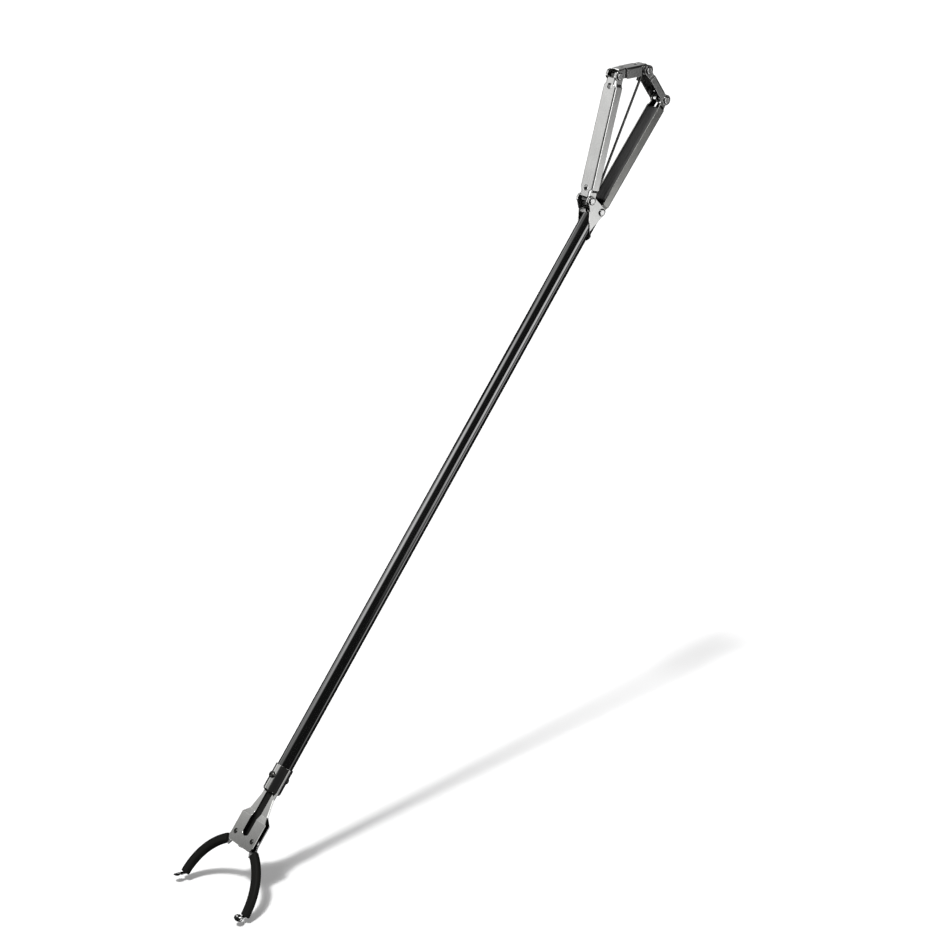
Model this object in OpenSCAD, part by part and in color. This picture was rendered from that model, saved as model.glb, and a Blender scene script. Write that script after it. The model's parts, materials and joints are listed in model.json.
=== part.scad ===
// Reacher grabber: a folded steel squeeze handle, a long tube and a pair of curved jaw fingers.
// Z runs up the shaft towards the handle, and the origin is on the shaft's axis at the middle of the tube.
// X is the direction in which the jaw opens. Y runs from the squeeze lever to the fixed bar.

/* [Tube] */
// Length of the shaft tube
tube_l = 637; // [300:1:1000]
// Outer diameter of the shaft tube
tube_d = 15.9; // [15.5:0.1:16.4]
// Wall of the shaft tube
tube_wall = 1.2; // [0.8:0.1:1.5]

/* [Sheet metal] */
// Thickness of the steel sheet of the handle and the jaw
sheet = 1.2; // [1:0.1:1.3]
// Side gap between two leaves that turn past each other
leaf_gap = 0.3; // [0.2:0.05:0.4]
// Width of the lever's and the fixed bar's channels
channel_w = 18; // [17.6:0.1:18.6]
// Outer radius of the channels' bends
bend_r = 1.8; // [1.7:0.1:3]
// Radius of the round ears at the pivots
ear_r = 5.2; // [4.6:0.1:5.6]

/* [Handle] */
// Distance from the lever's pivot to the inner link's pivot
lever_l = 122.7; // [100:0.1:140]
// Lean of the squeeze lever away from the shaft, in degrees
lever_lean = 21.8; // [19:0.1:24]
// Distance between the fixed bar's rivet and the outer link's pin
bar_l = 128; // [110:0.1:140]
// Lean of the fixed bar away from the shaft, in degrees
bar_lean = 1.2; // [0:0.1:3]
// Radius of the handle's cross pins
pin_r = 2.5; // [2.2:0.1:2.8]
// Length of the black insert in the fixed bar
grip_l = 107; // [90:1:108]
// Height of the black insert above the bar's edges
grip_proud = 1; // [0.5:0.1:1.5]

/* [Jaw] */
// Half of the distance between the two finger pivots
finger_x = 13.9; // [13:0.1:15]
// Depth of the finger pivots below the tube's end
finger_drop = 51.2; // [50:0.1:53]
// Height of the half shells that grip the tube
shell_h = 25.5; // [22:0.5:30]
// Half width of the jaw plates
plate_hw = 19.3; // [18.5:0.1:20]
// Radius of the fingers' centre line
arc_r = 62.6; // [55:0.1:66]
// Width of the rubber sleeves in the plane of the jaw
sleeve_w = 10.4; // [9:0.1:11]
// Thickness of the rubber sleeves
sleeve_t = 7.2; // [6:0.1:8]
// Swing of the arms below the level, with the jaw open, in degrees
arm_drop = 19; // [15:0.5:20]

/* [Hidden] */
$fn = 64;

steel = [0.74, 0.74, 0.72];
bright = [0.85, 0.85, 0.83];
dark_steel = [0.3, 0.3, 0.29];
black = [0.06, 0.06, 0.06];
rubber = [0.1, 0.1, 0.09];

// Heights along the shaft
tube_bottom = -tube_l / 2;
tube_top = tube_l / 2;
tube_r = tube_d / 2;
tube_in_r = tube_r - tube_wall;

// Clearances
press_gap = 0.02;
run_gap = 0.05;
knee_gap = 0.6;

// The leaves of the handle's hinges, from the outside in: the inner face of each
leaf_outer = tube_r + run_gap;
leaf_mid = leaf_outer - leaf_gap - sheet;
leaf_inner = leaf_mid - leaf_gap - sheet;
channel_hw = channel_w / 2;
hole_r = pin_r + run_gap;

// The handle's pivots, as [y, z]
lever_pivot = [-15.2, tube_top + 10.5];
bar_pivot = [2.9, tube_top + 7.5];
rod_pivot_z = tube_top - 14.3;
inner_pivot = lever_pivot + lever_l * [-sin(lever_lean), cos(lever_lean)];
outer_pivot = bar_pivot + bar_l * [sin(bar_lean), cos(bar_lean)];
knee = outer_pivot + [-37.3, 12.1];

// The links between the pivots: their lengths and their leans from Z towards +Y
function span(a, b) = norm(b - a);
function lean(a, b) = atan2(b[0] - a[0], b[1] - a[1]);
inner_l = span(inner_pivot, knee);
inner_lean = lean(inner_pivot, knee);
outer_l = span(outer_pivot, knee);
outer_lean = lean(outer_pivot, knee);
rod_base = [0, rod_pivot_z];
hook_l = span(rod_base, knee);
hook_lean = lean(rod_base, knee);

// The channels' sections: how far the web and the free edges stand from the line of the pivots
lever_web = 3.6;
lever_edge = 5.4;
bar_web = 5.5;
bar_edge = 3.3;
body_start = 10.5;

// The jaw, layer by layer from the middle plane outwards
strap_t = 0.8;
core_in = 0.6;
core_out = 2.0;
plate_in = 2.2;
plate_out = plate_in + sheet;
prong_in = 0.1;
prong_out = prong_in + sheet;
shell_out = leaf_outer + sheet;
pivot_z = tube_bottom - finger_drop;
drive_z = pivot_z - finger_x * tan(arm_drop);
arc_x = -11.2;
arc_z = tube_bottom - 115;
arc_from = 59.8;
arc_to = 1.7;
core_y = (core_in + core_out) / 2;
core_w = 7;
arm_end_r = 6.2;

// Turns a drawing in the XY plane to stand in the YZ plane, with its thickness along X from x0
module side_sheet(x0, thick) {
  translate([x0, 0, 0]) rotate([90, 0, 90]) linear_extrude(thick) children();
}

// Turns a drawing in the XY plane to stand in the XZ plane, with its thickness along Y from y0
module front_sheet(y0, thick) {
  translate([0, y0 + thick, 0]) rotate([90, 0, 0]) linear_extrude(thick) children();
}

// Draws something on both sides of the YZ plane
module both_sides() {
  children();
  mirror([1, 0, 0]) children();
}

// Puts a part's own frame at a pivot [y, z], leaning from Z towards +Y
module at_pivot(p, tilt) {
  translate([0, p[0], p[1]]) rotate([-tilt, 0, 0]) children();
}

// A cylinder along X between -half and half
module cross_bar(r, half) {
  translate([-half, 0, 0]) rotate([0, 90, 0]) cylinder(r = r, h = 2 * half);
}

// The U-shaped section of a folded channel: its web's outer face is on the X axis, its edges at depth
module u_section(hw, depth, r) {
  difference() {
    union() {
      translate([-hw, r]) square([2 * hw, depth - r]);
      translate([-hw + r, 0]) square([2 * (hw - r), depth]);
      for (side = [-1, 1]) translate([side * (hw - r), r]) circle(r);
    }
    union() {
      translate([-hw + sheet, r]) square([2 * (hw - sheet), depth]);
      translate([-hw + r, sheet]) square([2 * (hw - r), depth]);
      for (side = [-1, 1]) translate([side * (hw - r), r]) circle(r - sheet);
    }
  }
}

// A pair of ears round a pivot at the origin, stepped in from a channel's sides that start at height from
module ears(hw, leaf, from, low, high) {
  both_sides() intersection() {
    translate([0, 20, 0]) rotate([90, 0, 0]) linear_extrude(40) polygon([
      [hw, from + 3], [hw, from], [leaf + sheet, from - 2.6], [leaf + sheet, -ear_r - 1],
      [leaf, -ear_r - 1], [leaf, from - 2.1], [hw - sheet, from + 0.5], [hw - sheet, from + 3]
    ]);
    side_sheet(leaf - 1, hw - leaf + 2) {
      circle(ear_r);
      translate([low, 0]) square([high - low, from + 2]);
    }
  }
}

// A cross pin: a shank, a domed factory head on the -X side and a rolled end on the +X side
module cross_pin(face) {
  cross_bar(pin_r, face + 0.2);
  translate([-face - 0.1, 0, 0]) rotate([0, -90, 0]) domed_head(4.7, 1.5);
  translate([face + 0.1, 0, 0]) rotate([0, 90, 0]) rolled_end(3.9, 1.4);
}

// A shallow domed head on the XY plane
module domed_head(r, h) {
  ball = (r * r + h * h) / (2 * h);
  intersection() {
    translate([0, 0, h - ball]) sphere(ball);
    cylinder(r = r, h = h);
  }
}

// A rolled rivet end: a wide rounded rim round a flat middle that lies a little lower
module rolled_end(r, h) {
  dish = 0.25;
  rotate_extrude() {
    intersection() {
      translate([r - h, 0]) circle(h);
      translate([r - h - 0.1, 0]) square([h + 0.1, h]);
    }
    square([r - h, h - dish]);
  }
}

// A blind rivet seen from outside: a flat domed head with the hole of its broken stem
module blind_head(r, h, stem) {
  difference() {
    domed_head(r, h);
    translate([0, 0, h - 1]) cylinder(r = stem, h = 2);
  }
}

module shaft_tube() {
  color(black) translate([0, 0, tube_bottom]) difference() {
    cylinder(r = tube_r, h = tube_l, $fn = 96);
    translate([0, 0, -1]) cylinder(r = tube_in_r, h = tube_l + 2, $fn = 96);
    translate([0, 0, 13.9]) rotate([90, 0, 0]) cylinder(r = rivet_r + run_gap, h = 40, center = true);
    translate([0, 0, tube_l - 18]) rotate([-90, 0, 0]) cylinder(r = rivet_r + run_gap, h = 20);
  }
}

// The plastic plug in the tube's lower end, with a slot that guides the pull strap
strap_hw = 4.4;
module tube_end_plug() {
  color("gray") translate([0, 0, tube_bottom]) difference() {
    cylinder(r = tube_in_r - press_gap, h = 10);
    cube([2 * strap_hw + 0.4, strap_t + 0.6, 40], center = true);
  }
}

// A bush in the middle of the tube that keeps the pull rod straight
rod_r = 2.5;
module guide_bush(h) {
  difference() {
    cylinder(r = tube_in_r - press_gap, h = h);
    translate([0, 0, -1]) cylinder(r = rod_r + run_gap, h = h + 2);
  }
}

module rod_guide() {
  color("gray") translate([0, 0, 80]) guide_bush(14);
}

spring_low = tube_bottom + 46;
spring_high = tube_bottom + 96;
module spring_stop() {
  color("gray") translate([0, 0, spring_high]) guide_bush(8);
}

// A jaw plate: a stamping with a wide lower plate, a joggle, two prongs and a half shell round the tube.
// The front plate is on the -Y side.
slot_hw = 4.7;
slot_floor = 50.6;
rivet_r = 1.6;
bracket_ear_r = 4.6;
module jaw_plate() {
  translate([0, 0, tube_bottom]) difference() {
    union() {
      intersection() {
        translate([-30, 0, 0]) rotate([90, 0, 90]) linear_extrude(60) joggle_profile();
        front_sheet(-20, 40) plate_outline();
      }
      half_shell();
      shell_lip();
    }
    for (side = [-1, 1]) translate([side * finger_x, 0, -finger_drop]) rotate([90, 0, 0])
      cylinder(r = pivot_rivet_r + run_gap, h = 20, center = true);
    translate([0, 0, 13.9]) rotate([90, 0, 0]) cylinder(r = rivet_r + run_gap, h = 30);
  }
}

module joggle_profile() {
  polygon([
    [-plate_out, -65], [-plate_in, -65], [-plate_in, -31.4], [-prong_in, -25.4], [-prong_in, -0.3],
    [-prong_out, -0.3], [-prong_out, -25], [-plate_out, -31]
  ]);
}

module plate_outline() {
  corner = 4;
  low = -61.1;
  difference() {
    union() {
      translate([-plate_hw, low + corner]) square([2 * plate_hw, 30.1 - corner]);
      translate([-plate_hw + corner, low]) square([2 * (plate_hw - corner), 10]);
      for (side = [-1, 1]) translate([side * (plate_hw - corner), low + corner]) circle(corner);
      polygon([
        [-plate_hw, -31.1], [plate_hw, -31.1], [13.8, -24.5], [shell_out, -7], [shell_out, -0.3],
        [-shell_out, -0.3], [-shell_out, -7], [-13.8, -24.5]
      ]);
    }
    translate([0, -slot_floor + slot_hw]) circle(slot_hw);
    translate([-slot_hw, -slot_floor + slot_hw]) square([2 * slot_hw, 60]);
    for (side = [-1, 1]) translate([side * (shell_out - 2), -3]) circle(1);
  }
}

module half_shell() {
  intersection() {
    difference() {
      cylinder(r = shell_out, h = shell_h);
      translate([0, 0, -1]) cylinder(r = leaf_outer, h = shell_h + 2);
    }
    translate([-20, -20 - prong_in, -1]) cube([40, 20, shell_h + 2]);
  }
}

// The half shell's lower rim, turned in under the tube's end
module shell_lip() {
  intersection() {
    rotate_extrude() polygon([
      [leaf_outer, 0.5], [shell_out, 0.5], [shell_out, -0.3], [shell_out - 0.8, -1.5], [5.6, -3.3],
      [4.9, -2.4], [leaf_outer - 0.9, -0.8], [leaf_outer, -0.3]
    ]);
    translate([-20, -20 - prong_in, -5]) cube([40, 20, 10]);
  }
}

module jaw_plate_front() {
  color(steel) jaw_plate();
}

module jaw_plate_rear() {
  color(steel) mirror([0, 1, 0]) jaw_plate();
}

// A short blind rivet through a half shell and the tube's wall, its head fitted to the curved sheet
module shell_rivet() {
  head_r = 3.3;
  head_sink = 0.7;
  head_skirt = 1.7;
  difference() {
    translate([0, -shell_out, 0]) rotate([90, 0, 0]) {
      translate([0, 0, -head_sink]) cylinder(r = head_r, h = head_sink + head_skirt + 0.01);
      translate([0, 0, head_skirt]) blind_head(head_r, 1.1, 1.3);
    }
    cylinder(r = shell_out + press_gap, h = 20, center = true);
  }
  translate([0, -tube_in_r + 0.6, 0]) rotate([90, 0, 0]) cylinder(r = rivet_r, h = shell_out + 0.4 - tube_in_r + 0.6);
}

// The two rivets of the jaw's half shells
module shell_rivets() {
  color(dark_steel) for (turn = [0, 180]) translate([0, 0, tube_bottom + 13.9]) rotate([0, 0, turn]) shell_rivet();
}

// The two rivets that the fingers turn on, headed on both plates
pivot_rivet_r = 1.9;
module finger_pivot_rivets() {
  color(dark_steel) for (side = [-1, 1]) translate([side * finger_x, 0, pivot_z]) rotate([90, 0, 0]) {
    cylinder(r = pivot_rivet_r, h = 2 * plate_out + 0.4, center = true);
    for (flip = [0, 1]) mirror([0, 0, flip]) translate([0, 0, plate_out + 0.05]) blind_head(2.7, 1, 1.1);
  }
}

// The folded bracket on the tube's upper end, whose flat ears carry the lever's pin and the bar's rivet
module handle_bracket() {
  rear_top = tube_top + 1;
  color(bright) difference() {
    intersection() {
      union() {
        translate([0, 0, tube_top - 40]) linear_extrude(rear_top - tube_top + 40) bracket_wrap();
        both_sides() translate([leaf_outer, -30, tube_top - 40]) cube([sheet, 30, 70]);
        both_sides() side_sheet(leaf_outer, sheet) polygon([
          [-1, tube_top - 18], [0.4, tube_top - 18], bar_pivot + bracket_ear_r * [0.94, 0.34],
          [shell_out, tube_top + 30], [-1, tube_top + 30]
        ]);
      }
      side_sheet(-20, 40) bracket_outline(rear_top);
    }
    for (p = [lever_pivot, bar_pivot]) translate([0, p[0], p[1]]) cross_bar(hole_r, 30);
    translate([0, 0, tube_top - 18]) rotate([-90, 0, 0]) cylinder(r = rivet_r + run_gap, h = 20);
  }
}

// The bracket's rear half, bent round the tube
module bracket_wrap() {
  intersection() {
    difference() {
      circle(shell_out, $fn = 96);
      circle(leaf_outer, $fn = 96);
    }
    translate([-20, 0]) square([40, 20]);
  }
}

// The bracket seen from the side: round at both pivots, with a long slant from the lever's pin to the foot
module bracket_outline(rear_top) {
  rear_y = shell_out + 0.1;
  rear_z = tube_top - 22.6;
  translate(lever_pivot) circle(bracket_ear_r);
  translate(bar_pivot) circle(bracket_ear_r);
  polygon([
    lever_pivot + bracket_ear_r * [-0.3, -0.95], [-10.8, tube_top + 1], [-6, tube_top - 6],
    [4.6, tube_top - 19.8], [rear_y - 1.8, rear_z + 0.2],
    [rear_y, rear_z], [rear_y, rear_top], bar_pivot + bracket_ear_r * [0.94, 0.34],
    bar_pivot + bracket_ear_r * [0, 1], lever_pivot + bracket_ear_r * [0, 1]
  ]);
}

module bracket_rivet() {
  color(dark_steel) translate([0, 0, tube_top - 18]) rotate([0, 0, 180]) shell_rivet();
}

// A channel with stepped ears at both ends, along Z from 0 to length, its web on the -Y side
module eared_channel(length, web, edge, from, to) {
  tab_hw = leaf_inner - leaf_gap;
  translate([0, -web, from]) linear_extrude(to - from) u_section(channel_hw, web + edge, bend_r);
  ears(channel_hw, leaf_mid, from, -web + 1.4, edge - 0.6);
  translate([0, 0, length]) mirror([0, 0, 1]) ears(channel_hw, leaf_mid, length - to, -web + 1.4, edge - 0.6);
  translate([0, -web + sheet, 0]) rotate([90, 0, 0]) linear_extrude(sheet) polygon([
    [-tab_hw, 3], [tab_hw, 3], [tab_hw, from - 2], [channel_hw - bend_r, from + 0.5],
    [channel_hw - bend_r, to - 0.5], [tab_hw, to + 2], [tab_hw, length - 3], [-tab_hw, length - 3],
    [-tab_hw, to + 2], [-channel_hw + bend_r, to - 0.5], [-channel_hw + bend_r, from + 0.5], [-tab_hw, from - 2]
  ]);
}

module fixed_bar() {
  color(steel) at_pivot(bar_pivot, bar_lean) difference() {
    mirror([0, 1, 0]) eared_channel(bar_l, bar_web, bar_edge, 7.6, bar_l - 9.8);
    cross_bar(hole_r, 30);
    translate([0, 0, bar_l]) cross_bar(hole_r, 30);
  }
}

// The black moulded insert that fills the fixed bar and stands a little proud of its edges
module grip_insert() {
  in_hw = channel_hw - sheet - run_gap;
  crown = 2.6;
  back = bar_web - sheet - run_gap;
  front = -bar_edge - grip_proud;
  color(rubber) at_pivot(bar_pivot, bar_lean) translate([0, 0, (bar_l - grip_l) / 2 + 0.3]) intersection() {
    linear_extrude(grip_l) {
      translate([-in_hw, front + crown]) square([2 * in_hw, back - bend_r - front - crown]);
      translate([-in_hw + crown, front]) square([2 * (in_hw - crown), back - front]);
      for (side = [-1, 1]) translate([side * (in_hw - crown), front + crown]) circle(crown);
    }
    side_sheet(-10, 20) {
      translate([front + crown, 0]) square([back - front, grip_l]);
      translate([front, crown]) square([back - front, grip_l - 2 * crown]);
      for (end = [crown, grip_l - crown]) translate([front + crown, end]) circle(crown);
    }
  }
}

module bar_rivet() {
  color(bright) translate([0, bar_pivot[0], bar_pivot[1]]) cross_pin(shell_out);
}

module lever_pin() {
  color(bright) translate([0, lever_pivot[0], lever_pivot[1]]) cross_pin(shell_out);
}

module outer_link_pin() {
  color(bright) translate([0, outer_pivot[0], outer_pivot[1]]) cross_pin(shell_out);
}

// A short bush on the outer link's pin, between the leaves of the -X side
module outer_pin_bush() {
  color(steel) translate([-leaf_mid + 0.1, outer_pivot[0], outer_pivot[1]]) rotate([0, 90, 0]) difference() {
    cylinder(r = 4.3, h = 4.6);
    translate([0, 0, -1]) cylinder(r = hole_r, h = 10);
  }
}

module squeeze_lever() {
  color(bright) at_pivot(lever_pivot, -lever_lean) difference() {
    eared_channel(lever_l, lever_web, lever_edge, body_start, lever_l - body_start);
    cross_bar(hole_r, 30);
    translate([0, 0, lever_l]) cross_bar(hole_r, 30);
    for (z = [11.3, lever_l - 11.3]) translate([0, 0, z]) rotate([90, 0, 0]) cylinder(r = 3.1, h = 10);
  }
}

module inner_link_pin() {
  color(bright) translate([0, inner_pivot[0], inner_pivot[1]]) cross_pin(leaf_mid + sheet);
}

// The link from the lever to the knee: an inverted channel that steps in to ears at both ends
inner_web = 6.4;
module inner_link() {
  hw = leaf_mid + sheet;
  from = 10;
  to = inner_l - 9;
  color(dark_steel) at_pivot(inner_pivot, inner_lean) difference() {
    union() {
      translate([0, -inner_web, from]) linear_extrude(to - from) u_section(hw, inner_web + 4.2, bend_r);
      ears(hw, leaf_inner, from, -inner_web + 1.4, 3.4);
      translate([0, 0, inner_l]) mirror([0, 0, 1]) ears(hw, leaf_inner, inner_l - to, -inner_web + 1.4, 3.4);
      translate([-leaf_inner, -inner_web, 1]) cube([2 * leaf_inner, sheet, inner_l - 3]);
    }
    cross_bar(hole_r, 30);
    translate([0, 0, inner_l]) cross_bar(hole_r, 30);
    for (z = [9, inner_l - 11]) translate([0, 0, z]) rotate([90, 0, 0]) cylinder(r = 1.5, h = 10);
  }
}

module knee_pin() {
  color(bright) translate([0, knee[0], knee[1]]) cross_pin(leaf_mid + sheet);
}

wire_r = 1.25;
hook_tail = 8.4;
module knee_spacers() {
  color(dark_steel) translate([0, knee[0], knee[1]]) both_sides()
    translate([wire_r + 0.3, 0, 0]) rotate([0, 90, 0]) difference() {
      cylinder(r = 3.9, h = leaf_inner - wire_r - 0.4);
      translate([0, 0, -1]) cylinder(r = hole_r, h = 10);
    }
}

// The link from the knee to the fixed bar: an open channel whose web faces outwards
outer_web = 3.2;
module outer_link() {
  hw = shell_out;
  from = 7.2;
  to = outer_l - 9.6;
  color(dark_steel) at_pivot(outer_pivot, outer_lean) difference() {
    union() {
      translate([0, outer_web, from]) mirror([0, 1, 0]) linear_extrude(to - from)
        u_section(hw, outer_web + 4.6, bend_r);
      mirror([0, 1, 0]) ears(hw, leaf_outer, from, -outer_web + 0.8, 4.4);
      translate([0, 0, outer_l]) mirror([0, 0, 1]) mirror([0, 1, 0])
        ears(hw, leaf_mid, outer_l - to, -outer_web + 0.8, 4.4);
      translate([-leaf_mid, outer_web - sheet, from - 3]) cube([2 * leaf_mid, sheet, to - from + 5]);
    }
    cross_bar(hole_r, 30);
    translate([0, 0, outer_l]) cross_bar(pin_r + knee_gap, 30);
  }
}

// The upper pull rod: bent into an eye round the knee pin, with a short tail beside it
module hook_rod() {
  eye_r = pin_r + knee_gap + wire_r;
  color(dark_steel) at_pivot(rod_base, hook_lean) difference() {
    union() {
      cylinder(r = wire_r, h = hook_l - eye_r + 0.6, $fn = 24);
      translate([0, 0, hook_l]) rotate([0, 90, 0]) rotate_extrude() translate([eye_r, 0]) circle(wire_r, $fn = 24);
      translate([0, -2.9, hook_l - eye_r - hook_tail]) cylinder(r = wire_r, h = hook_tail + 1.2, $fn = 24);
      cross_bar(2.6, wire_r);
    }
    cross_bar(clevis_pin_r + run_gap, 10);
  }
}

// The fork at the top of the long rod, which slides in the tube's mouth
clevis_pin_r = 1.2;
clevis_foot = rod_pivot_z - 16;
module rod_clevis() {
  color(steel) difference() {
    translate([0, 0, clevis_foot]) cylinder(r = 4.4, h = 20);
    translate([-wire_r - 0.3, -10, rod_pivot_z - 4.5]) cube([2 * wire_r + 0.6, 20, 20]);
    translate([0, 0, rod_pivot_z]) cross_bar(clevis_pin_r + press_gap, 10);
    translate([0, 0, clevis_foot - 1]) cylinder(r = rod_r + press_gap, h = 7);
  }
}

module clevis_pin() {
  color(bright) translate([0, 0, rod_pivot_z]) cross_bar(clevis_pin_r, 4.2);
}

// The long rod in the tube, from the strap to the clevis
rod_foot = tube_bottom + 24;
module pull_rod() {
  color(dark_steel) difference() {
    translate([0, 0, rod_foot]) cylinder(r = rod_r, h = clevis_foot + 6 - rod_foot);
    translate([-10, -strap_t / 2 - press_gap, rod_foot - 1]) cube([20, strap_t + 2 * press_gap, 11.1]);
    translate([0, 0, rod_foot + 5]) rotate([90, 0, 0]) cylinder(r = 1 + press_gap, h = 20, center = true);
  }
}

// The flat strap that pulls the fingers' arms
module pull_strap() {
  foot = drive_z - 3.4;
  color(black) difference() {
    front_sheet(-strap_t / 2, strap_t) {
      translate([-strap_hw, foot + strap_hw]) square([2 * strap_hw, rod_foot + 9 - foot - strap_hw]);
      translate([0, foot + strap_hw]) circle(strap_hw);
    }
    translate([0, 0, drive_z]) rotate([90, 0, 0]) cylinder(r = drive_r + press_gap, h = 10, center = true);
    translate([0, 0, rod_foot + 5]) rotate([90, 0, 0]) cylinder(r = 1 + press_gap, h = 10, center = true);
  }
}

module strap_rivet() {
  color(bright) translate([0, 0, rod_foot + 5]) rotate([90, 0, 0]) cylinder(r = 1, h = 5.2, center = true);
}

// The pin through the strap and the slots of both arms
drive_r = 2;
module drive_pin() {
  color(bright) translate([0, 0, drive_z]) rotate([90, 0, 0]) cylinder(r = drive_r, h = 2 * core_out, center = true);
}

module spring_seat() {
  color("gray") translate([0, 0, spring_low - 6]) difference() {
    cylinder(r = tube_in_r - 0.25, h = 6);
    translate([0, 0, -1]) cylinder(r = rod_r + press_gap, h = 8);
  }
}

// The compression spring round the rod: a helix with a ring of points at every step
coil_r = 4.9;
coil_wire = 0.7;
coil_turns = 9;
coil_steps = 16;
coil_sides = 6;
coil_play = 0.1;
module return_spring() {
  rings = coil_turns * coil_steps;
  pitch = (spring_high - spring_low - 2 * coil_wire - 2 * coil_play) / coil_turns;
  points = [
    for (i = [0:rings], k = [0:coil_sides - 1])
      let (turn = 360 * i / coil_steps, r = coil_r + coil_wire * cos(360 * k / coil_sides))
      [r * cos(turn), r * sin(turn), pitch * i / coil_steps + coil_wire * sin(360 * k / coil_sides)]
  ];
  sides = [
    for (i = [0:rings - 1], k = [0:coil_sides - 1])
      let (n = (k + 1) % coil_sides, a = i * coil_sides, b = a + coil_sides)
      each [[a + k, b + k, b + n], [a + k, b + n, a + n]]
  ];
  start_cap = [for (k = [0:coil_sides - 1]) k];
  end_cap = [for (k = [0:coil_sides - 1]) rings * coil_sides + coil_sides - 1 - k];
  color(steel) translate([0, 0, spring_low + coil_wire + coil_play])
    polyhedron(points, concat(sides, [start_cap, end_cap]), convexity = 10);
}

// The finger pieces are drawn for the +X side, with Y from the middle of the finger's own layer
module finger_arc(r_in, r_out, from, to) {
  translate([arc_x, arc_z]) intersection() {
    difference() {
      circle(r_out, $fn = 180);
      circle(r_in, $fn = 180);
    }
    polygon([
      [0, 0], 2 * r_out * [cos(from), sin(from)], 2 * r_out * [cos((from + to) / 2), sin((from + to) / 2)],
      2 * r_out * [cos(to), sin(to)]
    ]);
  }
}

// The flat core: an arm with the drive pin's slot, the pivot, and a curved blade inside the sleeve
module finger_core() {
  thick = core_out - core_in;
  arm_l = finger_x / cos(arm_drop);
  root = [arc_x, arc_z] + arc_r * [cos(arc_from), sin(arc_from)];
  heel = [arc_x, arc_z] + (arc_r - sleeve_w / 2 - 1.3) * [cos(arc_from + 0.8), sin(arc_from + 0.8)];
  difference() {
    front_sheet(-thick / 2, thick) {
      finger_arc(arc_r - core_w / 2, arc_r + core_w / 2, arc_from + 1, arc_to);
      polygon([
        [finger_x - 3.2, pivot_z - 4.6], heel, root + [-1.3, -3.4], root + [2.2, 3.0],
        [finger_x + 4.6, pivot_z + 1.5], [finger_x, pivot_z + 4.8]
      ]);
      translate([finger_x, pivot_z]) circle(5.2);
      translate([finger_x, pivot_z]) rotate(180 + arm_drop) {
        translate([0, -4]) square([arm_l, 8]);
        translate([arm_l, 0]) circle(arm_end_r);
      }
    }
    translate([finger_x, 0, pivot_z]) rotate([90, 0, 0])
      cylinder(r = pivot_rivet_r + run_gap, h = 10, center = true);
    front_sheet(-5, 10) translate([finger_x, pivot_z]) rotate(180 + arm_drop) {
      translate([finger_x - 0.3, -drive_r - 0.25]) square([arm_l - finger_x + 0.6, 2 * drive_r + 0.5]);
      for (x = [finger_x - 0.3, arm_l + 0.3]) translate([x, 0]) circle(drive_r + 0.25);
    }
  }
}

// The rubber sleeve: a flattened tube swept along the finger's arc, hollow round the blade
module finger_sleeve() {
  side_r = sleeve_t / 2;
  flat_w = sleeve_w / 2 - side_r;
  translate([arc_x, 0, arc_z]) rotate([90, 0, 0]) intersection() {
    rotate_extrude($fn = 180) difference() {
      union() {
        translate([arc_r - flat_w, -side_r]) square([2 * flat_w, sleeve_t]);
        for (side = [-1, 1]) translate([arc_r + side * flat_w, 0]) circle(side_r, $fn = 40);
      }
      translate([arc_r - core_w / 2 - 0.05, -(core_out - core_in) / 2 - 0.05])
        square([core_w + 0.1, core_out - core_in + 0.1]);
    }
    translate([0, 0, -10]) linear_extrude(20) polygon([
      [0, 0], 90 * [cos(arc_from), sin(arc_from)], 90 * [cos(arc_from / 2), sin(arc_from / 2)],
      90 * [cos(arc_to), sin(arc_to)]
    ]);
  }
}

// The spoon at a finger's end: a narrow neck and a shallow bowl, bent forward out of the jaw's plane
tip_bend = 54;
module finger_tip() {
  tip = [arc_x + arc_r * cos(arc_to), 0, arc_z + arc_r * sin(arc_to)];
  difference() {
    translate(tip) rotate([-tip_bend, 0, 0]) {
      translate([-1.9, -0.6, -5]) cube([3.8, 1.2, 5.6]);
      translate([0, 0.2, -7.8]) rotate([90, 0, 0]) rotate([0, 28, 0]) spoon_bowl();
    }
    translate(tip) rotate([0, -arc_to, 0]) translate([-10, -10, 0]) cube([20, 20, 10]);
  }
}

module spoon_bowl() {
  bowl_r = 4.3;
  ball = 5;
  rotate_extrude($fn = 48) intersection() {
    difference() {
      translate([0, ball - 0.9]) circle(ball);
      translate([0, ball + 0.1]) circle(ball);
    }
    translate([0, -2]) square([bowl_r, 4]);
  }
}

module finger_left_core() {
  color(steel) translate([0, -core_y, 0]) mirror([1, 0, 0]) finger_core();
}

module finger_left_sleeve() {
  color(rubber) translate([0, -core_y, 0]) mirror([1, 0, 0]) finger_sleeve();
}

module finger_left_tip() {
  color(bright) translate([0, -core_y, 0]) mirror([1, 0, 0]) finger_tip();
}

module finger_right_core() {
  color(steel) translate([0, core_y, 0]) finger_core();
}

module finger_right_sleeve() {
  color(rubber) translate([0, core_y, 0]) finger_sleeve();
}

module finger_right_tip() {
  color(bright) translate([0, core_y, 0]) finger_tip();
}

shaft_tube();
tube_end_plug();
rod_guide();
spring_stop();
jaw_plate_front();
jaw_plate_rear();
shell_rivets();
finger_pivot_rivets();
handle_bracket();
bracket_rivet();
fixed_bar();
grip_insert();
bar_rivet();
lever_pin();
outer_link_pin();
outer_pin_bush();
squeeze_lever();
inner_link_pin();
inner_link();
knee_pin();
knee_spacers();
outer_link();
hook_rod();
rod_clevis();
clevis_pin();
pull_rod();
pull_strap();
strap_rivet();
drive_pin();
spring_seat();
return_spring();
finger_left_core();
finger_left_sleeve();
finger_left_tip();
finger_right_core();
finger_right_sleeve();
finger_right_tip();
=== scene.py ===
"""Looks for the reacher grabber: materials, finer pieces, studio light and the camera."""

import json
import math

import bpy
from mathutils import Matrix, Vector


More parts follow.
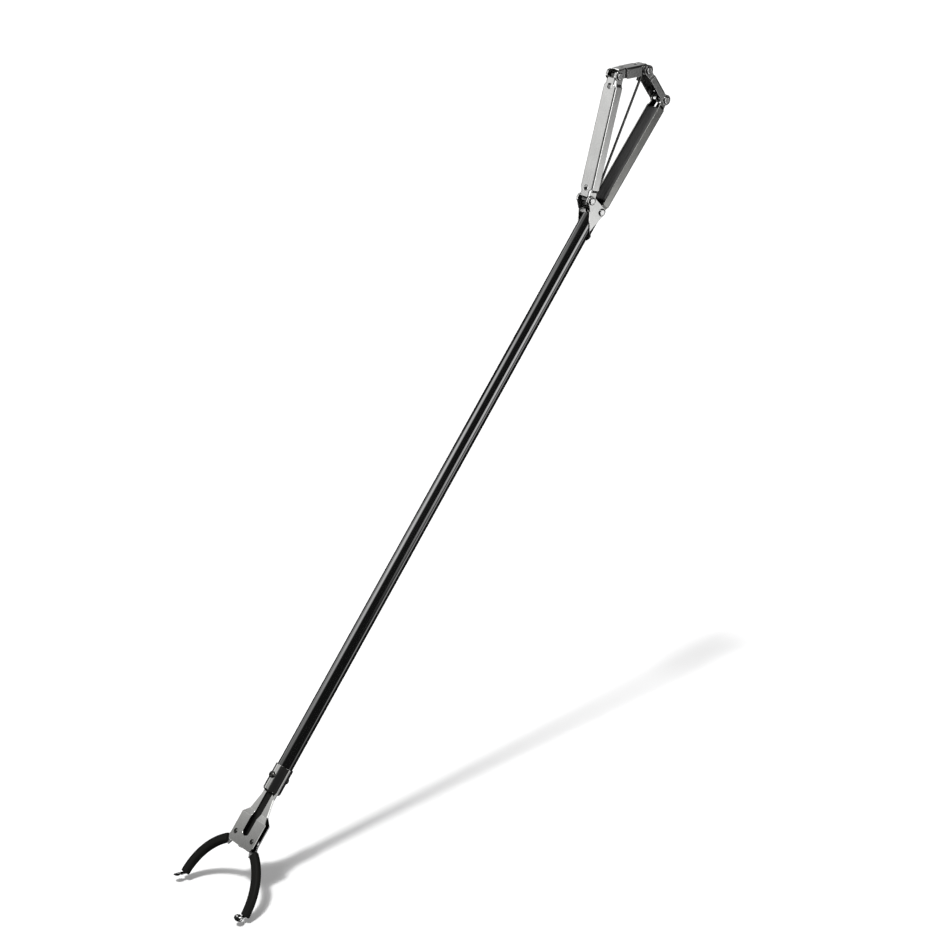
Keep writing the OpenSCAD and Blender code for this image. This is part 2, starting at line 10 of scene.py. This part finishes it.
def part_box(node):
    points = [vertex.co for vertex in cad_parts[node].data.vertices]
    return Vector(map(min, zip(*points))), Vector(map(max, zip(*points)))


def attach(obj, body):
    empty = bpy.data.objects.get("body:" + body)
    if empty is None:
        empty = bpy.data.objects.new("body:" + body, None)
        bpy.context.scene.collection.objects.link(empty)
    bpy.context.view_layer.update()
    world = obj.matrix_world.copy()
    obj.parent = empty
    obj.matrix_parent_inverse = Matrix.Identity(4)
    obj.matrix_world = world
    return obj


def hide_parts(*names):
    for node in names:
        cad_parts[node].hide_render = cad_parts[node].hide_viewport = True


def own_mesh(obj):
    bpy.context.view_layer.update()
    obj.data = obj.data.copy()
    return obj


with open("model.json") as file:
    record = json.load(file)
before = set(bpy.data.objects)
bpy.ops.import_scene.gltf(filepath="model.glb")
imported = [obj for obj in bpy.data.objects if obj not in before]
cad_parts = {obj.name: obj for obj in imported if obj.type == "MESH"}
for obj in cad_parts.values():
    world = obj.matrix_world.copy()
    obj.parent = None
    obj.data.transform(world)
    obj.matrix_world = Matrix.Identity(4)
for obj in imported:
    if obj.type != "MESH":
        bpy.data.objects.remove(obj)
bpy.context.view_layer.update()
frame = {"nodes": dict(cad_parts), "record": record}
MM = 0.001


def new_object(name, data):
    """An object with that data, linked into the scene."""
    made = bpy.data.objects.new(name, data)
    bpy.context.scene.collection.objects.link(made)
    return made


# ---------------------------------------------------------------- nodes that the materials share

EVEN_GRAIN = (1, 1, 1)
ROLLED_GRAIN = (1, 1, 0.04)
DRAWN_GRAIN = (1, 1, 0.02)

# the sockets of a Mix node that is set to colours
MIX_A, MIX_B, MIX_RESULT = 6, 7, 2


def new_material(name):
    """A material with nodes: returns it, its node tree and its principled shader."""
    material = bpy.data.materials.new(name)
    material.use_nodes = True
    tree = material.node_tree
    return material, tree, tree.nodes["Principled BSDF"]


def stretched_noise(tree, scale, detail, stretch=EVEN_GRAIN):
    """Noise in the object's own metres, drawn out along an axis by a small stretch value."""
    place = tree.nodes.new("ShaderNodeTexCoord")
    mapping = tree.nodes.new("ShaderNodeMapping")
    mapping.inputs["Scale"].default_value = stretch
    noise = tree.nodes.new("ShaderNodeTexNoise")
    noise.inputs["Scale"].default_value = scale
    noise.inputs["Detail"].default_value = detail
    tree.links.new(place.outputs["Object"], mapping.inputs["Vector"])
    tree.links.new(mapping.outputs["Vector"], noise.inputs["Vector"])
    return noise.outputs["Fac"]


def ramp(tree, factor, low, high, start=0.3, end=0.7):
    """Maps a factor to colours or greys between low and high."""
    node = tree.nodes.new("ShaderNodeValToRGB")
    for stop, place, value in ((0, start, low), (1, end, high)):
        node.color_ramp.elements[stop].position = place
        grey = (value, value, value) if isinstance(value, (int, float)) else value
        node.color_ramp.elements[stop].color = (*grey, 1)
    tree.links.new(factor, node.inputs["Fac"])
    return node.outputs["Color"]


def bump(tree, height, strength, depth, normal=None):
    """A bump of that depth in metres, on top of another one if given."""
    node = tree.nodes.new("ShaderNodeBump")
    node.inputs["Strength"].default_value = strength
    node.inputs["Distance"].default_value = depth
    tree.links.new(height, node.inputs["Height"])
    if normal is not None:
        tree.links.new(normal, node.inputs["Normal"])
    return node.outputs["Normal"]


def worn_edges(tree, radius):
    """Normals that round every sharp edge by that radius in metres, as on tumbled or plated parts."""
    node = tree.nodes.new("ShaderNodeBevel")
    node.samples = 6
    node.inputs["Radius"].default_value = radius
    return node.outputs["Normal"]


def tinted(tree, colour, factor, tint):
    """A colour multiplied by a tint where the factor is low, and left alone where it is high."""
    node = tree.nodes.new("ShaderNodeMix")
    node.data_type = "RGBA"
    node.blend_type = "MULTIPLY"
    node.inputs["Factor"].default_value = 1.0
    shade = ramp(tree, factor, tint, 1.0, start=0.35, end=0.75)
    tree.links.new(colour, node.inputs[MIX_A])
    tree.links.new(shade, node.inputs[MIX_B])
    return node.outputs[MIX_RESULT]


def open_sky(tree, reach):
    """How open a spot is within a reach in metres: low in corners and between leaves."""
    node = tree.nodes.new("ShaderNodeAmbientOcclusion")
    node.samples = 8
    node.inputs["Distance"].default_value = reach
    return node.outputs["AO"]


def end_face(tree, start, end):
    """1 on faces across the X axis and 0 on the rims round them."""
    place = tree.nodes.new("ShaderNodeTexCoord")
    split = tree.nodes.new("ShaderNodeSeparateXYZ")
    size = tree.nodes.new("ShaderNodeMath")
    size.operation = "ABSOLUTE"
    tree.links.new(place.outputs["Normal"], split.inputs["Vector"])
    tree.links.new(split.outputs["X"], size.inputs[0])
    return ramp(tree, size.outputs["Value"], 0.0, 1.0, start, end)


# ---------------------------------------------------------------- materials

EDGE_RADIUS = 0.35 * MM
# painted shade in corners and recesses: how far it reaches, and how dark it makes sheet steel there
PAINTED_SHADE_REACH = 12 * MM
PAINTED_SHADE_TINT = 0.25
STEEL_GRAIN_DEPTH = 0.02 * MM
PEEL_DEPTH = 0.02 * MM
MOULD_GRAIN_DEPTH = 0.04 * MM


def sheet_steel(name, dark, light, rough=(0.16, 0.28), grain=ROLLED_GRAIN, painted_rim_shade=None):
    """Zinc-plated sheet steel: rolling grain, soft clouds of tone, painted shade in the recesses and worn
    edges.

    With a painted rim shade, the rims round a pin's flat end faces are darkened as painted shade, and only
    the end faces stay bright.
    """
    material, tree, shader = new_material(name)
    clouds = stretched_noise(tree, scale=60, detail=4)
    streaks = stretched_noise(tree, scale=2600, detail=3, stretch=grain)
    # painted shade: the colour darkens where other surfaces close a spot in, in corners, recesses and
    # between parts
    colour = tinted(tree, ramp(tree, clouds, dark, light), open_sky(tree, PAINTED_SHADE_REACH), PAINTED_SHADE_TINT)
    if painted_rim_shade is not None:
        # painted shade: the rims round a pin's end faces are darkened
        colour = tinted(tree, colour, end_face(tree, start=0.9, end=0.97), painted_rim_shade)
    tree.links.new(colour, shader.inputs["Base Color"])
    tree.links.new(ramp(tree, streaks, *rough, start=0.25, end=0.75), shader.inputs["Roughness"])
    edges = worn_edges(tree, EDGE_RADIUS)
    tree.links.new(bump(tree, streaks, 0.5, STEEL_GRAIN_DEPTH, edges), shader.inputs["Normal"])
    shader.inputs["Metallic"].default_value = 1.0
    return material


def tube_lacquer(name):
    """Glossy black lacquer on the tube: a faint orange peel and a few dull clouds."""
    material, tree, shader = new_material(name)
    peel = stretched_noise(tree, scale=420, detail=2)
    clouds = stretched_noise(tree, scale=30, detail=5, stretch=(1, 1, 0.2))
    tree.links.new(ramp(tree, clouds, 0.002, 0.005), shader.inputs["Base Color"])
    tree.links.new(ramp(tree, clouds, 0.1, 0.17), shader.inputs["Roughness"])
    tree.links.new(bump(tree, peel, 0.35, PEEL_DEPTH), shader.inputs["Normal"])
    shader.inputs["Coat Weight"].default_value = 1.0
    shader.inputs["Coat IOR"].default_value = 2.0
    shader.inputs["Coat Roughness"].default_value = 0.05
    return material


def moulded(name, dark, light, rough=(0.38, 0.55), specular=0.5):
    """Moulded plastic or rubber: a fine spark grain and slightly uneven gloss."""
    material, tree, shader = new_material(name)
    grain = stretched_noise(tree, scale=1800, detail=6)
    clouds = stretched_noise(tree, scale=45, detail=4)
    tree.links.new(ramp(tree, clouds, dark, light), shader.inputs["Base Color"])
    tree.links.new(ramp(tree, clouds, *rough), shader.inputs["Roughness"])
    tree.links.new(bump(tree, grain, 0.6, MOULD_GRAIN_DEPTH), shader.inputs["Normal"])
    shader.inputs["Specular IOR Level"].default_value = specular
    return material


STEELS = {
    "jaw_steel": {"dark": (0.66, 0.66, 0.64), "light": (0.72, 0.72, 0.7), "rough": (0.08, 0.15)},
    "shell_steel": {"dark": 0.5, "light": 0.6, "rough": (0.08, 0.16)},
    # the pins' rims carry painted shade, so that only their end faces stay bright
    "rivet_steel": {"dark": 0.75, "light": (0.9, 0.9, 0.89), "rough": (0.12, 0.24),
                    "grain": EVEN_GRAIN, "painted_rim_shade": 0.12},
    "dark_rivet": {"dark": (0.04, 0.04, 0.038), "light": (0.07, 0.07, 0.066), "rough": (0.25, 0.4),
                   "grain": EVEN_GRAIN},
    "lever_steel": {"dark": (0.66, 0.66, 0.65), "light": (0.73, 0.73, 0.72)},
    "bar_steel": {"dark": (0.3, 0.3, 0.29), "light": (0.36, 0.36, 0.345)},
    "link_steel": {"dark": (0.68, 0.68, 0.67), "light": (0.8, 0.8, 0.79), "rough": (0.12, 0.22)},
    "rod_steel": {"dark": 0.07, "light": (0.11, 0.11, 0.105), "rough": (0.25, 0.4), "grain": DRAWN_GRAIN},
    "strap_steel": {"dark": (0.012, 0.012, 0.011), "light": (0.022, 0.022, 0.02), "rough": (0.35, 0.5)},
    "spring_steel": {"dark": 0.4, "light": (0.55, 0.55, 0.54), "rough": (0.2, 0.35), "grain": EVEN_GRAIN},
    "finger_steel": {"dark": 0.45, "light": (0.55, 0.55, 0.54)},
    "tip_steel": {"dark": 0.3, "light": (0.38, 0.38, 0.375), "rough": (0.14, 0.26), "grain": EVEN_GRAIN},
}
MOULDINGS = {
    "grip_plastic": {"dark": 0.006, "light": 0.011},
    "guide_plastic": {"dark": 0.02, "light": 0.05},
    "sleeve_rubber": {"dark": (0.004, 0.004, 0.0036), "light": (0.007, 0.007, 0.0062),
                      "rough": (0.52, 0.68), "specular": 0.08},
}

MATERIALS = {"tube_black": tube_lacquer("tube_black")}
MATERIALS.update({name: sheet_steel(name, **look) for name, look in STEELS.items()})
MATERIALS.update({name: moulded(name, **look) for name, look in MOULDINGS.items()})

for part in frame["record"]["subparts"]:
    node = frame["nodes"][part["node"]]
    node.data.materials.clear()
    node.data.materials.append(MATERIALS[part["material_slot"]])


# ---------------------------------------------------------------- finer pieces, in millimetres

# the length at either end of a loft whose sections have depths of their own
END_STRETCH = 4


def loft(name, rings, body, node, slot):
    """A closed skin through rings of points; it stands for a CAD node and rides on its body."""
    count = len(rings[0])
    points = [[MM * value for value in point] for ring in rings for point in ring]
    faces = [list(range(count))[::-1], [(len(rings) - 1) * count + k for k in range(count)]]
    for ring in range(len(rings) - 1):
        for k in range(count):
            a, b = ring * count + k, ring * count + (k + 1) % count
            faces.append([a, b, b + count, a + count])
    mesh = bpy.data.meshes.new(name)
    mesh.from_pydata(points, [], faces)
    mesh.validate()
    for face in mesh.polygons:
        face.use_smooth = len(face.vertices) == 4
    piece = new_object(name, mesh)
    mesh.materials.append(MATERIALS[slot])
    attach(piece, body)
    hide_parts(node)
    return piece


def rim(depth, radius):
    """How far a rounded rim draws a section in, at a depth from the end."""
    if depth >= radius:
        return 0.0
    return radius - math.sqrt(radius * radius - (radius - depth) ** 2)


def stations(length, rim_depths, step):
    """Depths of a loft's sections: close together in both rounded ends and evenly spaced between."""
    spaces = int((length - 2 * END_STRETCH) / step)
    middle = [END_STRETCH + step * k for k in range(spaces + 1)]
    return rim_depths + middle + [length - depth for depth in rim_depths[::-1]]


def middle_of(node, axis):
    """The middle of a node's box along an axis, to a tenth of a millimetre."""
    low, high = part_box(node)
    return round((low[axis] + high[axis]) / 2 / MM, 1)


TUBE_LOW = round(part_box("shaft_tube")[0][2] / MM, 1)

# the rubber sleeves follow an arc, drawn here for the right finger; angles are in degrees
ARC_X, ARC_Z, ARC_R = -11.2, TUBE_LOW - 115, 62.6
ARC_FROM, ARC_TO = 59.8, 1.7
SLEEVE_W, SLEEVE_T = 10.4, 7.2
SLEEVE_RIM = 1.0
SLEEVE_RIM_DEPTHS = [0, 0.05, 0.15, 0.3, 0.5, 0.75, 1.0, 2.0]
SLEEVE_SWELL = 0.15
SLEEVE_SIDES = 56
# points whose turn has a cosine under 1 / FLAT_TO_ROUND lie on the section's flats
FLAT_TO_ROUND = 4
SEAM_DEPTH = 0.12
CORE_Y = 1.3


def sleeve_ring(side, angle, inset):
    """The sleeve's section at an angle of the arc: a stadium with a faint mould seam front and back."""
    half_t = SLEEVE_T / 2 - inset
    flat = (SLEEVE_W - SLEEVE_T) / 2
    bearing = math.radians(angle)
    ring = []
    for k in range(SLEEVE_SIDES):
        turn = 2 * math.pi * k / SLEEVE_SIDES
        seam = SEAM_DEPTH if k in (SLEEVE_SIDES // 4, 3 * SLEEVE_SIDES // 4) else 0.0
        straight = math.copysign(flat, math.cos(turn)) * min(1.0, abs(math.cos(turn)) * FLAT_TO_ROUND)
        radius = ARC_R + (straight + half_t * math.cos(turn))
        along_y = (half_t - seam) * math.sin(turn)
        x = side * (ARC_X + radius * math.cos(bearing))
        ring.append((x, side * (CORE_Y + along_y), ARC_Z + radius * math.sin(bearing)))
    return ring if side > 0 else ring[::-1]


def sleeve(side, body, node):
    """A rubber sleeve with rounded ends, a little fuller towards its middle."""
    length = math.radians(ARC_FROM - ARC_TO) * ARC_R
    rings = []
    for depth in stations(length, SLEEVE_RIM_DEPTHS, step=2):
        thinner = SLEEVE_SWELL * (1 - math.sin(math.pi * depth / length))
        inset = rim(min(depth, length - depth), SLEEVE_RIM) + thinner
        angle = ARC_FROM - math.degrees(depth / ARC_R)
        rings.append(sleeve_ring(side, angle, inset))
    loft(node + "_soft", rings, body, node, "sleeve_rubber")


sleeve(-1, "finger_left", "finger_left_sleeve")
sleeve(1, "finger_right", "finger_right_sleeve")

# the insert lies in the fixed bar, which leans by BAR_LEAN degrees from the rivet at its foot
BAR_Y, BAR_Z = middle_of("bar_rivet", 1), middle_of("bar_rivet", 2)
BAR_L, BAR_LEAN = 128.0, 1.2
GRIP_L, GRIP_HW = 107.0, 7.75
GRIP_START = (BAR_L - GRIP_L) / 2 + 0.3
GRIP_RIM = 2.6
GRIP_RIM_DEPTHS = [0, 0.1, 0.3, 0.6, 1.0, 1.5, 2.0, 2.6]
# at a rounded end the crown sinks by up to CROWN_DROP, and the sides draw in by a share of the rim
CROWN_EDGE_Y = -2.0
CROWN_DROP = 2.4
SIDE_DRAW = 0.25


def grip_ring(height, inset):
    """The grip's section: a flat crown between two ridges, and shoulders that slope to the channel."""
    crown = [(0.0, -4.25), (1.5, -4.22), (3.2, -4.1), (3.9, -4.3), (4.5, -4.1), (6.2, -3.7), (7.2, -3.2)]
    flank = [(GRIP_HW, -2.2), (GRIP_HW, 0.0), (GRIP_HW, 3.0), (6.9, 4.2), (4.0, 4.25), (0.0, 4.25)]
    half = crown + flank
    outline = half + [(-x, y) for x, y in half[-2:0:-1]]
    lean = math.radians(BAR_LEAN)
    ring = []
    for x, y in outline:
        if y < CROWN_EDGE_Y:
            y += min(inset, CROWN_DROP)
        x = math.copysign(max(abs(x) - SIDE_DRAW * inset, 0.0), x)
        ring.append((x, BAR_Y + y * math.cos(lean) + height * math.sin(lean),
                     BAR_Z - y * math.sin(lean) + height * math.cos(lean)))
    return ring


def grip():
    """The black moulded insert of the fixed bar, rounded over at both ends."""
    rings = []
    for depth in stations(GRIP_L, GRIP_RIM_DEPTHS, step=3):
        rings.append(grip_ring(GRIP_START + depth, rim(min(depth, GRIP_L - depth), GRIP_RIM)))
    loft("grip_insert_fine", rings, "root", "grip_insert", "grip_plastic")


grip()

# the spring sits between a stop in the tube and a seat that rises with the rod
SPRING_LOW, SPRING_HIGH = TUBE_LOW + 46, TUBE_LOW + 96
COIL_R, WIRE_R, COIL_TURNS, COIL_PLAY = 4.9, 0.7, 9, 0.1
STEPS_PER_TURN, WIRE_SIDES = 20, 10


def spring():
    """The return spring, a coil of one length between its fixed upper end and the seat that rises with the
    rod.
    """
    steps = STEPS_PER_TURN * COIL_TURNS
    low = SPRING_LOW + WIRE_R + COIL_PLAY
    height = SPRING_HIGH - SPRING_LOW - 2 * (WIRE_R + COIL_PLAY)
    rings = []
    for step in range(steps + 1):
        turn = 2 * math.pi * step * COIL_TURNS / steps
        ring = []
        for k in range(WIRE_SIDES):
            side = -2 * math.pi * k / WIRE_SIDES
            radius = COIL_R + WIRE_R * math.cos(side)
            z = low + height * step / steps + WIRE_R * math.sin(side)
            ring.append((radius * math.cos(turn), radius * math.sin(turn), z))
        rings.append(ring)
    piece = loft("return_spring_fine", rings, "root", "return_spring", "spring_steel")
    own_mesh(piece)


spring()


# ---------------------------------------------------------------- studio, in metres and degrees

def facing(place, aim):
    """The placement of a camera or light at a place, looking at a point."""
    look = (Vector(aim) - Vector(place)).to_track_quat("-Z", "Y").to_matrix().to_4x4()
    return Matrix.Translation(place) @ look


def place_camera(place, aim, roll, lens):
    """Creates the camera at a place, looking at a point, rolled about its own line of sight."""
    camera = new_object("camera", bpy.data.cameras.new("camera"))
    camera.matrix_world = facing(place, aim) @ Matrix.Rotation(math.radians(roll), 4, "Z")
    camera.data.lens = lens
    camera.data.sensor_width = 36
    camera.data.clip_end = 30
    bpy.context.scene.camera = camera


def multiplied(tree, first, second):
    """The product of two node outputs."""
    product = tree.nodes.new("ShaderNodeMath")
    product.operation = "MULTIPLY"
    tree.links.new(first, product.inputs[0])
    tree.links.new(second, product.inputs[1])
    return product.outputs["Value"]


def softbox(name, place, aim, width, height, radiance, edge_u, edge_v):
    """An area light facing a point, brightest in its middle, that fades out over a share of its sides."""
    light = new_object(name, bpy.data.lights.new(name, "AREA"))
    light.matrix_world = facing(place, aim)
    light.visible_camera = False
    light.visible_diffuse = False
    light.data.shape = "RECTANGLE"
    light.data.size = width
    light.data.size_y = height
    light.data.energy = radiance * math.pi * width * height
    light.data.use_nodes = True
    tree = light.data.node_tree
    spot = tree.nodes.new("ShaderNodeNewGeometry")
    split = tree.nodes.new("ShaderNodeSeparateXYZ")
    tree.links.new(spot.outputs["Parametric"], split.inputs["Vector"])
    total = None
    for axis, edge in (("X", edge_u), ("Y", edge_v)):
        for start, end in ((0.0, edge), (1.0, 1.0 - edge)):
            fade = tree.nodes.new("ShaderNodeMapRange")
            fade.interpolation_type = "SMOOTHSTEP"
            fade.inputs["From Min"].default_value = start
            fade.inputs["From Max"].default_value = end
            tree.links.new(split.outputs[axis], fade.inputs["Value"])
            result = fade.outputs["Result"]
            total = result if total is None else multiplied(tree, total, result)
    tree.links.new(total, tree.nodes["Emission"].inputs["Strength"])


def sun(name, towards, strength, angle):
    """A distant light that comes from a direction; the wider its angle, the softer its shadows."""
    light = new_object(name, bpy.data.lights.new(name, "SUN"))
    light.matrix_world = Vector(towards).to_track_quat("Z", "Y").to_matrix().to_4x4()
    light.data.energy = strength
    light.data.angle = math.radians(angle)


def white_floor(centre, lean, half):
    """A plain white floor under the finger tips, on which the tool leans back; it is clear from below."""
    corners = [(-half, -half, 0), (half, -half, 0), (half, half, 0), (-half, half, 0)]
    mesh = bpy.data.meshes.new("floor")
    mesh.from_pydata(corners, [], [(0, 1, 2, 3)])
    floor = new_object("floor", mesh)
    floor.matrix_world = Matrix.Translation(centre) @ Matrix.Rotation(math.radians(lean), 4, "X")
    material, tree, shader = new_material("floor_white")
    shader.inputs["Base Color"].default_value = (0.95, 0.95, 0.95, 1)
    shader.inputs["Roughness"].default_value = 0.9
    shader.inputs["Specular IOR Level"].default_value = 0.0
    side = tree.nodes.new("ShaderNodeNewGeometry")
    clear = tree.nodes.new("ShaderNodeBsdfTransparent")
    mix = tree.nodes.new("ShaderNodeMixShader")
    tree.links.new(side.outputs["Backfacing"], mix.inputs["Fac"])
    tree.links.new(shader.outputs["BSDF"], mix.inputs[1])
    tree.links.new(clear.outputs["BSDF"], mix.inputs[2])
    tree.links.new(mix.outputs["Shader"], tree.nodes["Material Output"].inputs["Surface"])
    mesh.materials.append(material)
    floor.visible_glossy = False


def studio_world(backdrop, mirrored, fill):
    """A white backdrop, a dim grey room for what the object mirrors, and soft light from all round."""
    world = bpy.data.worlds.new("studio")
    bpy.context.scene.world = world
    world.use_nodes = True
    tree = world.node_tree
    path = tree.nodes.new("ShaderNodeLightPath")
    strength = fill
    for ray, level in (("Is Glossy Ray", mirrored), ("Is Camera Ray", backdrop)):
        choice = tree.nodes.new("ShaderNodeMix")
        tree.links.new(path.outputs[ray], choice.inputs["Factor"])
        if isinstance(strength, float):
            choice.inputs["A"].default_value = strength
        else:
            tree.links.new(strength, choice.inputs["A"])
        choice.inputs["B"].default_value = level
        strength = choice.outputs["Result"]
    tree.links.new(strength, tree.nodes["Background"].inputs["Strength"])
    tree.nodes["Background"].inputs["Color"].default_value = (1, 1, 1, 1)


CAMERA_BEARING = -42.0
SUN_FROM = (0.177, -0.840, 0.514)
PANEL_DISTANCE = 2.2
PANELS = (
    # name, bearing to the right of the camera, height, height that it faces,
    # width, height of its face, radiance, share that fades out at each side, and at top and bottom
    ("left_panel", -72, 0.1, 0.1, 2.4, 1.5, 2.95, 0.4, 0.45),
    ("right_panel", 45, 0.75, 0.3, 1.3, 1.9, 3.05, 0.15, 0.3),
    ("right_wing", 82, 0.15, 0.2, 1.3, 1.7, 1.9, 0.35, 0.35),
    ("right_low_panel", 86, -0.8, -0.3, 1.2, 0.8, 0.6, 0.3, 0.25),
    ("low_left_panel", -105, -1.2, 0.4, 1.5, 1.2, 1.9, 0.3, 0.2),
    ("low_front_panel", -58, -1.35, 0.3, 1.3, 1.3, 1.2, 0.25, 0.2),
    ("side_panel", -106, -0.21, -0.1, 1.4, 1.02, 0.83, 0.3, 0.29),
    ("back_panel", -164, 2.07, 0.45, 0.9, 0.9, 0.35, 0.3, 0.3),
    ("high_left_panel", -105, 0.9, -0.3, 1.4, 1.0, 1.15, 0.3, 0.2),
)


def around(angle, distance, height):
    """A point at a bearing round the shaft, to the right of the camera, at a height."""
    bearing = math.radians(CAMERA_BEARING + angle)
    return (distance * math.cos(bearing), distance * math.sin(bearing), height)


place_camera(place=(1.9431, -1.7496, -0.1073), aim=(0.0, 0.0308, 0.0438), roll=28.96, lens=102.52)
white_floor(centre=(0, -0.0085, -0.448), lean=37.6, half=12)
studio_world(backdrop=1.0, mirrored=0.02, fill=0.4)
sun("key", SUN_FROM, strength=1.7, angle=5)
sun("key_soft", SUN_FROM, strength=1.1, angle=15)
for name, bearing, height, aim_height, *face in PANELS:
    softbox(name, around(bearing, PANEL_DISTANCE, height), (0, 0, aim_height), *face)
bpy.context.scene.view_settings.view_transform = "Standard"
